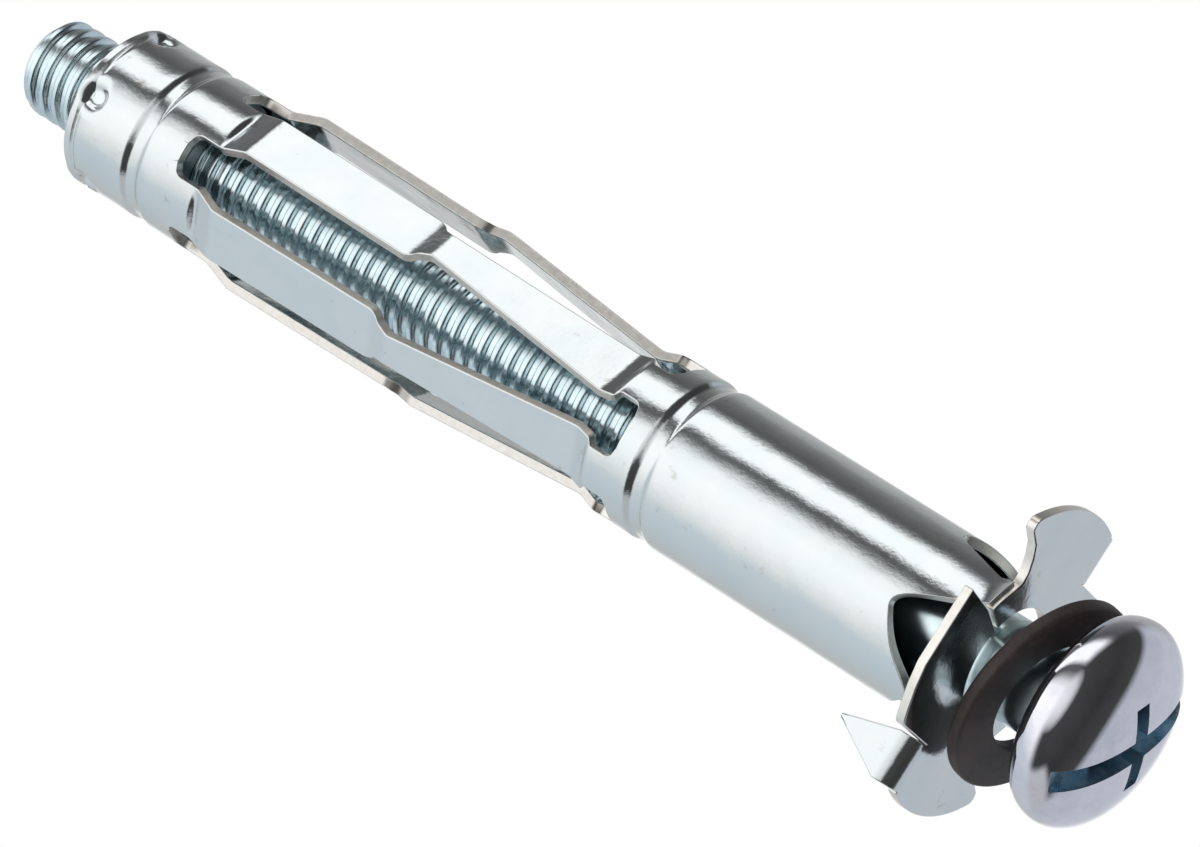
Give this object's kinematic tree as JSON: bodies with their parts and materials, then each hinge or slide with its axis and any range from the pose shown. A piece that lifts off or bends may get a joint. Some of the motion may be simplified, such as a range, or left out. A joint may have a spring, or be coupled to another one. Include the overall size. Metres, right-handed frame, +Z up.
{
  "type": "hollow wall anchor",
  "caption": "Hollow wall anchor: slotted metal sleeve with folding legs, lobed spiked flange, threaded insert, pan head machine screw with slot and cross recess, and a loose washer.",
  "frame": {"origin": "on the screw axis, in the plane of the flange face that meets the wall", "axes": "+X along the screw axis towards the head, +Z up as it lies at rest, +Y to the left when looking along +X"},
  "size_m": [0.0807, 0.0184, 0.016],
  "materials": {
    "plated_sheet": "bright zinc plated sheet steel",
    "plated_insert": "zinc plated steel",
    "plated_screw": "blue bright zinc plated steel",
    "washer_fibre": "dark brown, dull"
  },
  "bodies": {
    "anchor": {"sleeve": "plated_sheet", "nut": "plated_insert"},
    "carrier": {"washer": "washer_fibre"},
    "machine_screw": {"screw": "plated_screw"}
  },
  "joints": [
    {"name": "screw_advance", "type": "slide", "parent": "anchor", "child": "carrier", "axis": [1, 0, 0], "range_m": [-0.0008, 0.012]},
    {"name": "screw_turn", "type": "hinge", "parent": "carrier", "child": "machine_screw", "pos_m": [0, 0, 0], "axis": [1, 0, 0], "range_deg": [-300, 4340]}
  ],
  "couplings": [
    {"joint": "screw_turn", "follows": "screw_advance", "rad_per_m": 6283.2}
  ]
}
